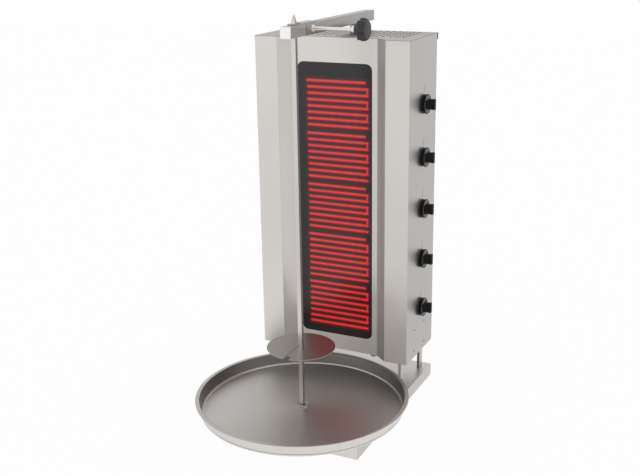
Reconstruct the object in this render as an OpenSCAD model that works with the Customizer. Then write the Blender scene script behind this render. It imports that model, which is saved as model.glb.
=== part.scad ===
// Vertical electric grill for stacked meat: a turning spit with its meat disc stands over a round
// drip pan, in front of a tall cabinet with five heating zones behind one ceramic sheet.
// Millimetres, +Z up, the front faces -Y. The floor is Z = 0, and the model is centred in X and Y.

/* [Cabinet] */
// Width of the cabinet
cabinet_w = 500; // [420:1:620]
// Depth of the cabinet, from the pillar faces to its back
cabinet_d = 232; // [225:1:320]
// Height of the cabinet, from its underside to the top of the cover
cabinet_h = 998; // [970:1:1200]
// Distance from the spit's axis to the pillar faces
spit_to_cabinet = 227; // [200:1:280]
// Width of each pillar face
pillar_w = 75; // [55:1:90]
// Width of each angled reflector wing, seen from the front
wing_w = 37.5; // [20:0.5:50]
// Depth of the recess between the pillars
recess_d = 33; // [20:1:45]
// Thickness of the folded sheet
sheet = 1.5; // [1:0.1:2.5]
// Width of the cabinet floor's turned-up rim
floor_rim = 18; // [12:1:30]
// Width of the flanges along the back edges of the side panels
back_flange = 20; // [12:1:30]
// Height of the top cover's rear skirt
cover_skirt = 20; // [10:1:35]
// Overhang of the top cover behind the back panel
cover_over = 8; // [4:1:20]
// Height of the corner relief slit at the top of each side panel
relief_h = 20; // [10:1:30]
// Width of that slit
relief_w = 1.2; // [0.8:0.1:2]

/* [Vents] */
// Number of vent slots across the cover
vent_columns = 20; // [4:1:20]
// Number of rows of vent slots
vent_rows = 6; // [1:1:6]
// Distance from the cabinet's side to the middle of the first column of slots
vent_side = 50.5; // [40:0.5:60]
// Spacing of the rows
vent_pitch_y = 28; // [24:0.5:29]
// Width of one slot
vent_w = 7; // [3:0.5:9]
// Length of one slot
vent_l = 17; // [8:0.5:20]
// Distance from the recess to the centre of the first row
vent_inset = 46; // [30:1:52]

/* [Heating] */
// Width of the front panel left of the window
window_left = 13.5; // [12:0.5:25]
// Width of the front panel right of the window
window_right = 17; // [12:0.5:25]
// Height of the front panel and the cover's skirt above the window
window_top = 76; // [60:1:90]
// Corner radius of the window
window_r = 20; // [8:1:30]
// Height of the window's lower edge above the cabinet's underside
window_low = 51; // [30:1:70]
// Thickness of the ceramic sheet
ceramic_t = 4; // [3:0.5:6]
// Overlap of the ceramic sheet behind the panel, on each side
ceramic_lap = 7; // [4:0.5:9]
// Height between the middles of one zone's highest line and the next zone's lowest
zone_gap = 26.5; // [20:0.5:32]
// Height of the lowest heating line above the window's lower edge
line_low = 35; // [20:1:40]
// Height of the window's upper edge above the highest heating line
line_top = 54.5; // [40:0.5:60]
// Height of the heating band
line_h = 8.6; // [4:0.1:11]
// Thickness of the heating band
line_t = 3; // [1:0.5:4]
// Width of the window at the left of the heating lines
left_margin = 26; // [15:0.5:35]
// Width of the window at the right of the heating lines
right_margin = 10.5; // [9:0.5:25]
// Depth of the turned-back left ends of the band
band_back = 12; // [8:1:18]
// Gap between the ceramic sheet and the heating lines
band_gap = 6; // [3:1:12]
// Thickness of the insulation boards
board_t = 24; // [15:1:30]
// Height of the gap between two insulation boards
board_joint = 3.6; // [1:0.1:20]

/* [Controls] */
// Diameter of the control knobs
knob_d = 59; // [50:1:70]
// Height of the knob's grip at its outer end
grip_h = 32; // [18:1:34]
// Share of that height at the grip's root
grip_low_share = 0.88; // [0.7:0.02:1]
// Depth of the knob's grip
grip_d = 23; // [14:1:28]
// Thickness of the grip's bar
grip_t = 14; // [12:0.5:20]
// Width of the flared root of the grip
grip_root = 44; // [24:1:46]
// Height of that flare
flare_h = 8; // [4:0.5:12]
// Height of the upright edge at the foot of the flare
flare_edge = 1; // [0.5:0.1:2]
// Thickness of the knob's skirt
skirt_t = 5; // [3:0.5:8]
// Depth of the neck between the bezel and the skirt
neck_d = 5.2; // [3:0.1:8]
// Diameter of that neck
neck_dia = 44; // [30:1:48]
// Thickness of the bezel behind a knob
bezel_t = 3; // [2:0.5:5]
// Distance from the pillar faces to the knob axes
knob_back = 122; // [100:1:135]
// Height of the lowest knob above the cabinet's underside
knob_low = 154; // [120:1:160]
// Height of the cabinet above the highest knob's axis
knob_high = 198; // [180:1:240]
// Diameter of the control spindles
spindle_d = 8; // [6:0.5:10]
// Side of an energy regulator's square body
regulator_w = 46; // [36:1:50]
// Depth of a regulator's body
regulator_d = 34; // [24:1:42]

/* [Base] */
// Width of the base
base_w = 500; // [420:1:620]
// Height of the base tray
base_h = 39; // [38:1:60]
// Distance from the spit's axis to the front of the base
base_front = 157; // [120:1:220]
// Height of the open space between the base and the cabinet
lift_h = 90; // [70:1:130]
// Height of the feet below the tray
foot_h = 6; // [4:0.5:15]
// Diameter of a foot
foot_d = 36; // [20:1:44]
// Distance from the base's edges to the feet's centres
foot_inset = 45; // [40:1:80]
// Width of a post
post_w = 10; // [8:1:16]
// Depth of a post
post_d = 25; // [15:1:30]
// Distance from the cabinet's sides to the posts
post_inset = 24; // [16:1:34]
// Distance from the cabinet's front and back to the posts
post_end = 18; // [8:1:30]
// Smallest gap between the pan's rim and a front post
post_clear = 4; // [3:0.5:8]

/* [Drip pan] */
// Outer diameter of the pan's rim
pan_d = 646; // [560:2:700]
// Width of the pan's flat flange
pan_flange = 13; // [8:0.5:20]
// Share of the wall's height that the skirt under the flange covers
pan_skirt_share = 0.8; // [0.3:0.05:0.85]
// Inward slope of the pan's wall
pan_draft = 4; // [3:0.5:14]
// Height of the pan, floor to rim, with the sheet
pan_h = 42; // [30:0.5:55]
// Radius of the pan's inner corner
pan_corner = 7; // [4:0.5:12]
// Outer diameter of the collar round the drive
collar_d = 39; // [37:1:50]
// Height of the collar above the pan's floor
collar_h = 7; // [4:0.5:10]
// Gap between the base's top and the pan's floor
pan_gap = 4.5; // [3.5:0.5:12]

/* [Spit] */
// Width of the square spit
spit_w = 12.5; // [10:0.5:14]
// Height of the spit's point above the arm
point_h = 30.5; // [18:0.5:36]
// Share of the point's height at which its shoulder lies
shoulder_share = 0.35; // [0.2:0.05:0.6]
// Share of the spit's width that the shoulder keeps
shoulder_w_share = 0.86; // [0.6:0.02:0.95]
// Width of the square tang in the drive cup
tang_w = 8.6; // [6:0.2:9]
// Height of the taper above the tang
taper_h = 14; // [8:1:24]
// Diameter of the drive cup
cup_d = 31; // [26:1:33]
// Height of the drive cup
cup_h = 7; // [5:0.5:8]
// Diameter of the drive shaft
shaft_d = 14; // [12:0.5:18]
// Radius of the meat disc
disc_r = 102.5; // [70:0.5:150]
// Thickness of the meat disc
disc_t = 2; // [1.5:0.1:4]
// Height of the meat disc's top above the floor
disc_z = 248; // [140:1:420]
// Width of the slit in the disc
slit_w = 1.8; // [1:0.1:4]
// Width of the notch at the end of the slit
notch_w = 16; // [10:0.5:24]
// Depth of that notch, from the disc's edge
notch_d = 26; // [14:1:36]
// Radius of the notch's lip on the slit's side
lip_slit_r = 5; // [2:0.5:8]
// Radius of the notch's other lip
lip_far_r = 9; // [3:0.5:12]
// Diameter of the cross pin under the disc
pin_d = 5; // [3:0.5:6]
// Length of that pin
pin_l = 42; // [30:1:70]

/* [Top arm] */
// Width of the square arm
arm_w = 32; // [30:1:45]
// Height of the arm
arm_h = 31; // [30:1:45]
// Wall of the arm's tube
arm_wall = 2.5; // [2:0.1:4]
// Height of the arm above the cover
arm_rise = 26; // [20:1:60]
// Reach of the arm's end behind the spit's axis
arm_back = 527; // [480:1:600]
// Reach of the front block ahead of the spit's axis
block_front = 52; // [40:1:70]
// Reach of the front block behind the spit's axis
block_back = 40; // [34:1:60]
// Travel of the telescopic bar
slide_travel = 25; // [10:1:25]
// Length of the bar inside the arm
slide_l = 190; // [150:1:260]
// Thickness of the strap over the joint
strap_t = 3.5; // [2:0.5:6]
// Reach of the strap ahead of the spit's axis
strap_front = 11; // [10:1:14]
// Reach of the strap behind the spit's axis
strap_back = 112; // [90:1:140]
// Width of the strap
strap_w = 29; // [26:1:34]
// Width of the square mast
mast_w = 30; // [20:1:34]
// Distance from the cabinet's back to the mast
mast_end = 24; // [8:1:30]

/* [Arm clamp] */
// Distance from the spit's axis to the clamp screw
clamp_back = 77; // [70:1:110]
// Diameter of the clamp screw's rod
rod_d = 10; // [8:0.5:14]
// Diameter of the threaded boss
boss_d = 19.5; // [15:0.5:24]
// Length of the boss
boss_l = 5; // [3:0.5:12]
// Distance from the spit's axis to the star knob's back
star_back = 155; // [110:1:200]
// Diameter of the star knob
star_d = 64; // [45:1:80]
// Thickness of the star knob's lobed rim
star_t = 20; // [12:1:26]
// Height of the round face on the star knob
star_dome = 9.5; // [4:0.5:14]
// Number of lobes
star_lobes = 7; // [5:1:9]
// Diameter of the bright nut behind the star knob
nut_d = 18; // [14:1:24]
// Length of that nut
nut_t = 17; // [4:1:20]

/* [Hidden] */
$fn = 64;
over = 1;
// Running clearance on radius of a turning shaft, and the gap at rest between sliding faces
run_fit = 0.05;
slide_fit = 0.3;
// Clearance of a piece that drops into a hole or slot
loose_fit = 0.6;

steel = [0.78, 0.77, 0.75];
steel_side = [0.68, 0.67, 0.65];
steel_dark = [0.42, 0.41, 0.40];
bright = [0.88, 0.88, 0.88];
black = [0.14, 0.14, 0.15];
ceramic_black = [0.20, 0.20, 0.21];
glow = [0.93, 0.25, 0.22];
board_white = [0.90, 0.88, 0.82];

// Window, heating lines and knobs, which follow the cabinet's width and height
zone_count = 5;
line_count = 8;
window_w = cabinet_w - 2 * (pillar_w + wing_w) - window_left - window_right;
window_x = (window_left - window_right) / 2;
window_h = cabinet_h - window_low - window_top;
zone_pitch = (window_h - line_low - line_top + zone_gap) / zone_count;
line_pitch = (zone_pitch - zone_gap) / (line_count - 1);
line_left = window_w / 2 - window_x - left_margin;
line_right = window_w / 2 + window_x - right_margin;
board_h = zone_pitch - board_joint;
knob_pitch = (cabinet_h - knob_low - knob_high) / (zone_count - 1);
vent_pitch_x = (cabinet_w - 2 * vent_side) / (vent_columns - 1);

// The model is centred between the pan's front and the arm's end
centre_y = (pan_d / 2 - arm_back) / 2;
base_top = foot_h + base_h;
cab_z = base_top + lift_h;
cab_top = cab_z + cabinet_h;
cover_low = cab_top - sheet;
cab_back = spit_to_cabinet + cabinet_d;
recess_y = spit_to_cabinet + recess_d;
panel_x = cabinet_w / 2 - pillar_w - wing_w;
pillar_x = cabinet_w / 2 - pillar_w;
side_in = cabinet_w / 2 - sheet;

// Depths behind the front panel, one layer after another
ceramic_y = recess_y + sheet;
band_y = ceramic_y + ceramic_t + band_gap;
board_y = band_y + band_back;
frame_y = board_y + board_t;
window_z = cab_z + window_low;
frame_lap = 12;
frame_half = window_w / 2 + frame_lap;

first_line_z = window_z + line_low;

knob_y = spit_to_cabinet + knob_back;
knob_z0 = cab_z + knob_low;

// Heights of the pan, the drive and the spit
pan_under = base_top + pan_gap;
pan_floor = pan_under + sheet;
rim_z = pan_under + pan_h;
cup_z = pan_under + slide_fit;
cup_top = cup_z + cup_h;
arm_z = cab_top + arm_rise;
arm_top = arm_z + arm_h;
dish_d = 16;
dish_share = 0.35;
dish_h = cup_h * dish_share;
tang_top = cup_top - dish_h;
tang_l = cup_h - dish_h - slide_fit;
peg_d = 4.3;
peg_h = 2.2;
peg_rim = 2.2;
peg_turn = 20;
gearbox_h = 18;
gearbox_w = 70;
gearbox_l = 96;
gearbox_offset = 20;
gearbox_z = base_top - sheet - gearbox_h;
motor_h = 15;
motor_w = 54;
motor_l = 60;
motor_offset = 42;
coil_d = 26;
coil_l = 20;
cooling_side = 3;
shaft_socket = 12;
shaft_low = base_top - sheet - shaft_socket;
seat_d = 92;
seat_bolt_r = 38;
seat_bolt_d = 5;
seat_bolt_share = 0.6;
tray_hole_d = 28;
plate_t = 1.2;
pad_d = 26;
pad_x = 150;
pad_y = 120;

bore_d = sqrt(2) * spit_w + 2 * run_fit;
bar_w = arm_w - 2 * (arm_wall + slide_fit);
bar_h = arm_h - 2 * (arm_wall + slide_fit);
bar_wall = 3;
clamp_share = 0.54;
clamp_z = arm_z + arm_h * clamp_share;
joint_gap = 1.5;
pad_l = 2.2;
pad_dia = 7;
rod_hole = rod_d + 2 * run_fit;
thread_d = 8;
star_hollow = 7.5;
star_steps = 12;
curve_steps = 6;
star_dome_share = 0.76;
star_top_share = 0.70;

screw_low = 22;
screw_high = 93;
screw_front = 69;
screw_rear = 157;
screw_rows = [screw_low, screw_high];
screw_columns = [screw_front, screw_rear];
screw_head_d = 5.5;
screw_head_t = 1.2;
screw_shank_d = 3.5;
screw_shank_l = 4.6;
bracket_t = 2;
bracket_margin = 12;
thumb_side = 15.5;
thumb_x = panel_x - thumb_side;
thumb_d = 20;
thumb_t = 6.5;
thumb_thread_d = 5;
thumb_thread_l = 4.5;
thumb_back = 9;

gland_x = -150;
gland_z = 40;
gland_d = 16;
gland_nut_d = 26;
gland_nut_l = 7;
gland_out = 17;
gland_bore = 9;
gland_cap_d = 19;
block_w = 74;
block_h = 24;
block_d = 20;
block_z = 84;
way_count = 5;
way_d = 4;
way_shares = [0.25, 0.75];

// Puts a piece, drawn round the spit's axis, into the centred model
module place() translate([0, centre_y, 0]) children();

// A box from its lower corner to its upper corner
module span(low, high) translate(low) cube(high - low);

// A cylinder along X, from x to x + l
module rod_x(x, y, z, d, l) translate([x, y, z]) rotate([0, 90, 0]) cylinder(h = l, d = d);

// A cylinder along Y, from y to y + l
module rod_y(x, y, z, d, l) translate([x, y + l, z]) rotate([90, 0, 0]) cylinder(h = l, d = d);

module rounded_rect(w, h, r) {
    square([w - 2 * r, h], center = true);
    square([w, h - 2 * r], center = true);
    for (x = [-1, 1], y = [-1, 1]) translate([x * (w / 2 - r), y * (h / 2 - r)]) circle(r = r);
}

// Base: a folded tray, open below, with a closing plate on four feet
module base_tray() color(steel_side) place() {
    half = base_w / 2;
    difference() {
        span([-half, -base_front, foot_h], [half, cab_back, base_top]);
        span([sheet - half, sheet - base_front, foot_h - over], [half - sheet, cab_back - sheet, base_top - sheet]);
        translate([0, 0, foot_h]) cylinder(h = base_h + over, d = tray_hole_d);
    }
}

module base_plate() color(steel_dark) place() {
    half = base_w / 2 - sheet - slide_fit;
    difference() {
        span([-half, sheet + slide_fit - base_front, foot_h], [half, cab_back - sheet - slide_fit, foot_h + plate_t]);
        // Cooling slots below the motor
        for (i = [-cooling_side:cooling_side])
            translate([i * vent_pitch_x, motor_offset, foot_h - over])
                linear_extrude(plate_t + 2 * over) square([vent_w, motor_l], center = true);
    }
}

module rubber_feet() color(black) place()
    for (x = [-1, 1], y = [foot_inset - base_front, cab_back - foot_inset])
        translate([x * (base_w / 2 - foot_inset), y, 0]) cylinder(h = foot_h, d = foot_d);

// Drive in the base: a flat gearbox with its motor, a bearing flange, the shaft and its cup
module gearbox() color(steel_dark) place() difference() {
    translate([-gearbox_w / 2, gearbox_offset - gearbox_l / 2, gearbox_z]) cube([gearbox_w, gearbox_l, gearbox_h]);
    translate([0, 0, shaft_low - slide_fit]) cylinder(h = gearbox_h, d = shaft_d + 2 * run_fit);
}

module motor() color(steel_side) place() translate([0, motor_offset, gearbox_z - motor_h]) {
    translate([-motor_w / 2, -motor_l / 2, 0]) cube([motor_w, motor_l, motor_h]);
    translate([motor_w / 2, 0, motor_h / 2]) rotate([0, 90, 0])
        intersection() {
            cylinder(h = coil_l, d = coil_d);
            translate([-motor_h / 2, -coil_d, 0]) cube([motor_h, 2 * coil_d, coil_l]);
        }
}

module bearing_flange() color(steel_dark) place() difference() {
    translate([0, 0, base_top]) cylinder(h = pan_gap, d = seat_d);
    translate([0, 0, base_top - over]) cylinder(h = pan_gap + 2 * over, d = shaft_d + 2 * run_fit);
    for (a = [45:90:315]) rotate([0, 0, a]) translate([seat_bolt_r, 0, base_top + pan_gap * (1 - seat_bolt_share)])
        cylinder(h = pan_gap + over, d = seat_bolt_d);
}

module pan_rests() color(black) place()
    for (x = [-1, 1], y = [-1, 1]) translate([x * pad_x, y * pad_y, base_top]) cylinder(h = pan_gap, d = pad_d);

module drive_shaft() color(bright) place()
    translate([0, 0, shaft_low]) cylinder(h = cup_z - shaft_low, d = shaft_d);

module drive_cup() color(steel) place() {
    peg_r = (cup_d - peg_d) / 2 - peg_rim;
    difference() {
        translate([0, 0, cup_z]) cylinder(h = cup_h, d = cup_d);
        translate([0, 0, cup_z + slide_fit]) linear_extrude(cup_h) square(tang_w + loose_fit, center = true);
        // Dish round the socket, which leads the spit in
        translate([0, 0, tang_top]) cylinder(h = cup_h, d = dish_d);
    }
    // Round-headed peg beside the socket
    rotate([0, 0, peg_turn]) translate([peg_r, 0, cup_top - slide_fit]) {
        cylinder(h = peg_h + slide_fit, d = peg_d);
        translate([0, 0, peg_h + slide_fit]) sphere(d = peg_d);
    }
}

// Drip pan: one revolved sheet with a flat flange, a skirt that is turned down and in from the
// flange's edge almost to the wall, a round inner corner and a collar
module drip_pan() color(steel) place() {
    rim_r = pan_d / 2;
    wall_top = rim_r - pan_flange;
    wall_low = wall_top - pan_draft;
    wall_h = pan_h - sheet - pan_corner;
    skirt_h = wall_h * pan_skirt_share;
    skirt_in = pan_flange - 2 * sheet - slide_fit + pan_draft * pan_skirt_share;
    fold_in = skirt_in * sheet / skirt_h;
    hole_r = collar_d / 2 - sheet;
    // Round corner between floor and wall, inside and outside
    inside = [for (i = [0:6]) let (a = i * 90 / 6)
        [wall_low - pan_corner + pan_corner * sin(a), pan_floor + pan_corner - pan_corner * cos(a)]];
    outer_r = pan_corner + sheet;
    outside = [for (i = [6:-1:0]) let (a = i * 90 / 6)
        [wall_low - pan_corner + outer_r * sin(a), pan_floor + pan_corner - outer_r * cos(a)]];
    rotate_extrude($fn = 128) polygon(concat(
        [[hole_r, pan_under], [hole_r, pan_floor + collar_h], [hole_r + sheet, pan_floor + collar_h],
         [hole_r + sheet, pan_floor]],
        inside,
        [[wall_top, rim_z], [rim_r, rim_z], [rim_r - skirt_in, rim_z - skirt_h],
         [rim_r - skirt_in - sheet, rim_z - skirt_h], [rim_r - fold_in - sheet, rim_z - sheet],
         [wall_top + sheet, rim_z - sheet]],
        outside));
}

// Spit: a square bar with a tang in the cup and a point above the arm
module spit() color(bright) place() {
    bar_z = tang_top + taper_h;
    shoulder = point_h * shoulder_share;
    difference() {
        union() {
            translate([0, 0, tang_top - tang_l]) linear_extrude(tang_l) square(tang_w, center = true);
            frustum(tang_top, tang_w, bar_z, spit_w);
            translate([0, 0, bar_z]) linear_extrude(arm_top - bar_z) square(spit_w, center = true);
            frustum(arm_top, spit_w, arm_top + shoulder, spit_w * shoulder_w_share);
            frustum(arm_top + shoulder, spit_w * shoulder_w_share, arm_top + point_h, 0);
        }
        rod_x(-spit_w, 0, disc_z - disc_t - pin_d / 2, pin_d + 2 * run_fit, 2 * spit_w);
    }
}

// A square frustum between two heights, with exact flat faces
module frustum(z1, w1, z2, w2) {
    side = [[-w1 / 2, 0], [w1 / 2, 0], [w2 / 2, z2 - z1], [-w2 / 2, z2 - z1]];
    reach = max(w1, w2);
    translate([0, 0, z1]) intersection() {
        translate([0, reach, 0]) rotate([90, 0, 0]) linear_extrude(2 * reach) polygon(side);
        translate([-reach, 0, 0]) rotate([90, 0, 90]) linear_extrude(2 * reach) polygon(side);
    }
}

// Meat disc: a thin plate with a square hole, a slit beside it and a notch at the edge
module meat_disc() color(steel) place() {
    hole = spit_w + loose_fit;
    // The slit's middle is also the notch's edge
    slit_x = -hole / 2 - slit_w / 2;
    translate([0, 0, disc_z - disc_t]) difference() {
        linear_extrude(disc_t) circle(r = disc_r, $fn = 128);
        translate([0, 0, -over]) linear_extrude(disc_t + 2 * over) {
            square(hole, center = true);
            translate([slit_x - slit_w / 2, -disc_r]) square([slit_w, disc_r]);
            translate([slit_x, -disc_r - over]) square([notch_w, notch_d + over]);
            lip(slit_x, -1, lip_slit_r);
            lip(slit_x + notch_w, 1, lip_far_r);
        }
    }
}

// What is cut away at a corner of the notch, so that its lip is round
module lip(x, side, r) difference() {
    translate([side > 0 ? x : x - r, -disc_r - over]) square([r, r + over]);
    translate([x + side * r, r - disc_r]) circle(r = r);
}

module disc_pin() color(bright) place()
    rod_x(-pin_l / 2, 0, disc_z - disc_t - pin_d / 2, pin_d, pin_l);

// Four flat posts carry the cabinet above the base. The front posts stand behind the pan's rim
function pan_reach(x) = sqrt(max(0, pan_d * pan_d / 4 - x * x));
front_post_y = max(spit_to_cabinet + post_end,
    pan_reach(cabinet_w / 2 - post_inset - post_w) + post_clear);

module post(side, y) {
    x = side * (cabinet_w / 2 - post_inset - post_w / 2);
    span([x - post_w / 2, y, base_top], [x + post_w / 2, y + post_d, cab_z]);
}

module posts(side) {
    post(side, front_post_y);
    post(side, cab_back - post_end - post_d);
}

module posts_left() color(steel_dark) place() posts(-1);
module posts_right() color(steel_dark) place() posts(1);

// Outline of the cabinet with its recess, from wall faces moved in by a margin
function cab_outline(m, back) = [
    [-cabinet_w / 2 + m, spit_to_cabinet + m], [-pillar_x, spit_to_cabinet + m], [-panel_x, recess_y + m],
    [panel_x, recess_y + m], [pillar_x, spit_to_cabinet + m], [cabinet_w / 2 - m, spit_to_cabinet + m],
    [cabinet_w / 2 - m, back], [-cabinet_w / 2 + m, back]];

module cabinet_floor() color(steel_dark) place() {
    back = cab_back - sheet - plate_t;
    difference() {
        translate([0, 0, cab_z]) linear_extrude(floor_rim) polygon(cab_outline(sheet, back));
        translate([0, 0, cab_z + sheet]) linear_extrude(floor_rim) polygon(cab_outline(2 * sheet, back - sheet));
        for (x = [-1, 1]) translate([x * thumb_x, recess_y + 2 * sheet + thumb_back, cab_z - over])
            cylinder(h = sheet + 2 * over, d = thumb_thread_d + loose_fit);
    }
}

// Bracket inside each side panel, which the side screws hold
module bracket(side) {
    y0 = spit_to_cabinet + screw_columns[0] - bracket_margin;
    y1 = spit_to_cabinet + screw_columns[1] + bracket_margin;
    z1 = cab_z + screw_rows[1] + bracket_margin;
    z0 = cab_z + floor_rim;
    difference() {
        mirror([side < 0 ? 1 : 0, 0, 0]) {
            span([side_in - bracket_t, y0, z0], [side_in, y1, z1]);
            span([side_in - floor_rim, y0, z0], [side_in, y1, z0 + bracket_t]);
        }
        for (c = screw_columns, r = screw_rows)
            rod_x(-cabinet_w, spit_to_cabinet + c, cab_z + r, screw_shank_d + 2 * run_fit, 2 * cabinet_w);
    }
}

module bracket_left() color(steel_dark) place() bracket(-1);
module bracket_right() color(steel_dark) place() bracket(1);

// Side panel: the side, the pillar face and the back flange are one folded sheet
module side_panel(side) {
    mirror([side < 0 ? 1 : 0, 0, 0]) difference() {
        translate([0, 0, cab_z]) linear_extrude(cabinet_h - sheet) polygon([
            [pillar_x, spit_to_cabinet], [cabinet_w / 2, spit_to_cabinet], [cabinet_w / 2, cab_back],
            [cabinet_w / 2 - back_flange, cab_back], [cabinet_w / 2 - back_flange, cab_back - sheet],
            [side_in, cab_back - sheet], [side_in, spit_to_cabinet + sheet], [pillar_x, spit_to_cabinet + sheet]]);
        span([side_in - over, spit_to_cabinet + 2 * sheet, cover_low - relief_h],
             [cabinet_w / 2 + over, spit_to_cabinet + 2 * sheet + relief_w, cab_top]);
        for (c = screw_columns, r = screw_rows)
            rod_x(side_in - over, spit_to_cabinet + c, cab_z + r, screw_shank_d + 2 * run_fit, sheet + 2 * over);
        if (side > 0) for (i = [0:zone_count - 1])
            rod_x(side_in - over, knob_y, knob_z0 + i * knob_pitch, spindle_d + loose_fit, sheet + 2 * over);
    }
}

module side_panel_left() color(steel_side) place() side_panel(-1);
module side_panel_right() color(steel_side) place() side_panel(1);

// Angled reflector between a pillar and the front panel
module wing(side) mirror([side < 0 ? 1 : 0, 0, 0])
    translate([0, 0, cab_z]) linear_extrude(cabinet_h - sheet) polygon([
        [panel_x, recess_y], [pillar_x, spit_to_cabinet],
        [pillar_x, spit_to_cabinet + sheet], [panel_x, recess_y + sheet]]);

module wing_left() color(steel_side) place() wing(-1);
module wing_right() color(steel_dark) place() wing(1);

module front_panel() color(steel) place() difference() {
    span([-panel_x, recess_y, cab_z], [panel_x, recess_y + sheet, cover_low]);
    translate([window_x, recess_y + sheet + over, window_z + window_h / 2]) rotate([90, 0, 0])
        linear_extrude(sheet + 2 * over) rounded_rect(window_w, window_h, window_r);
}

module ceramic_sheet() color(ceramic_black) place() {
    half = window_w / 2 + ceramic_lap;
    span([-half, ceramic_y, window_z - ceramic_lap], [half, ceramic_y + ceramic_t, window_z + window_h + ceramic_lap]);
}

// Tray behind the ceramic sheet, fixed to the back of the front panel, which holds the boards
module heater_frame() color(steel_dark) place() {
    low = window_z - frame_lap;
    high = window_z + window_h + frame_lap;
    difference() {
        span([-frame_half, ceramic_y, low], [frame_half, frame_y + sheet, high]);
        span([sheet - frame_half, ceramic_y - over, low + sheet], [frame_half - sheet, frame_y, high - sheet]);
    }
    // Two rails on each side press on the edge of the ceramic sheet
    for (x = [-1, 1]) translate([x * (frame_half - sheet - ceramic_lap / 2), 0, 0])
        span([-ceramic_lap / 2, ceramic_y + ceramic_t, low + sheet], [ceramic_lap / 2, board_y, high - sheet]);
}

module insulation_boards() color(board_white) place()
    for (i = [0:zone_count - 1]) {
        mid = first_line_z + i * zone_pitch + (line_count - 1) * line_pitch / 2;
        half = frame_half - sheet - slide_fit;
        span([-half, board_y, mid - board_h / 2], [half, frame_y, mid + board_h / 2]);
    }

// Heating band of one zone: straight lines, joined in pairs at the right in front and at the left
// behind, with both ends turned back into the board
module heater(i) {
    low = first_line_z + i * zone_pitch;
    for (k = [0:line_count - 1]) {
        z = low + k * line_pitch;
        end = k == line_count - 1 ? line_right - line_h : line_right;
        span([-line_left, band_y, z - line_h / 2], [end, band_y + line_t, z + line_h / 2]);
        // Left end turned back
        span([-line_left, band_y, z - line_h / 2], [line_t - line_left, board_y, z + line_h / 2]);
    }
    for (k = [1:2:line_count - 3])
        span([line_right - line_h, band_y, low + k * line_pitch],
             [line_right, band_y + line_t, low + (k + 1) * line_pitch]);
    for (k = [0:2:line_count - 2])
        span([-line_left, board_y - line_t, low + k * line_pitch],
             [line_t - line_left, board_y, low + (k + 1) * line_pitch]);
    // Terminals behind the lowest and the highest line
    for (k = [0, line_count - 1]) {
        end = k == 0 ? line_right : line_right - line_h;
        z = low + k * line_pitch;
        span([end - line_t, band_y, z - line_h / 2], [end, board_y, z + line_h / 2]);
    }
}

module heater_1() color(glow) place() heater(4);
module heater_2() color(glow) place() heater(3);
module heater_3() color(glow) place() heater(2);
module heater_4() color(glow) place() heater(1);
module heater_5() color(glow) place() heater(0);

module back_panel() color(steel_side) place() difference() {
    span([slide_fit - side_in, cab_back - sheet - plate_t, cab_z], [side_in - slide_fit, cab_back - sheet, cover_low]);
    rod_y(gland_x, cab_back - sheet - plate_t - over, cab_z + gland_z, gland_d + loose_fit, plate_t + 2 * over);
}

// Top cover: a plate that follows the recess, with a rear skirt and rows of vent slots
module top_cover() color(steel) place() {
    rear = cab_back + cover_over;
    mast_y = cab_back - mast_end - mast_w;
    difference() {
        union() {
            translate([0, 0, cover_low]) linear_extrude(sheet) polygon(cab_outline(0, rear));
            span([-cabinet_w / 2, rear - sheet, cab_top - cover_skirt], [cabinet_w / 2, rear, cab_top]);
        }
        for (i = [0:vent_columns - 1], j = [0:vent_rows - 1]) {
            x = (i - (vent_columns - 1) / 2) * vent_pitch_x;
            y = recess_y + vent_inset + j * vent_pitch_y;
            near = abs(x) < (mast_w + vent_pitch_x) / 2 && y + vent_l / 2 > mast_y - vent_w;
            if (!near) translate([x - vent_w / 2, y - vent_l / 2, cover_low - over]) cube([vent_w, vent_l, sheet + 2 * over]);
        }
        span([-mast_w / 2 - slide_fit, mast_y - slide_fit, cover_low - over],
             [mast_w / 2 + slide_fit, mast_y + mast_w + slide_fit, cab_top + over]);
    }
}

// Controls on the right side: regulators inside, bezels and knobs outside
module energy_regulators() color(board_white) place()
    for (i = [0:zone_count - 1]) difference() {
        translate([side_in - regulator_d, knob_y - regulator_w / 2, knob_z0 + i * knob_pitch - regulator_w / 2])
            cube([regulator_d, regulator_w, regulator_w]);
        rod_x(side_in - regulator_d / 2 - slide_fit, knob_y, knob_z0 + i * knob_pitch, spindle_d + 2 * run_fit, regulator_d);
    }

module knob_bezels() color(black) place()
    for (i = [0:zone_count - 1]) translate([cabinet_w / 2, knob_y, knob_z0 + i * knob_pitch]) rotate([0, 90, 0])
        difference() {
            cylinder(h = bezel_t, d1 = knob_d, d2 = knob_d - bezel_t);
            translate([0, 0, -over]) cylinder(h = bezel_t + 2 * over, d = spindle_d + loose_fit);
        }

module spindle(i) rod_x(side_in - regulator_d / 2, knob_y, knob_z0 + i * knob_pitch, spindle_d,
    cabinet_w / 2 - side_in + regulator_d / 2 + bezel_t + neck_d + skirt_t + grip_d / 2);

module spindle_1() color(bright) place() spindle(4);
module spindle_2() color(bright) place() spindle(3);
module spindle_3() color(bright) place() spindle(2);
module spindle_4() color(bright) place() spindle(1);
module spindle_5() color(bright) place() spindle(0);

// Half of the grip seen from above: width against depth, from the flare's foot to the bar's end
function grip_side() = concat([[grip_root / 2, -over], [grip_root / 2, flare_edge]],
    [for (k = [1:curve_steps]) let (a = 90 * k / curve_steps)
        [grip_t / 2 + (grip_root - grip_t) / 2 * (1 - sin(a)),
         flare_edge + (flare_h - flare_edge) * (1 - cos(a))]],
    [[grip_t / 2, grip_d]]);

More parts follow.
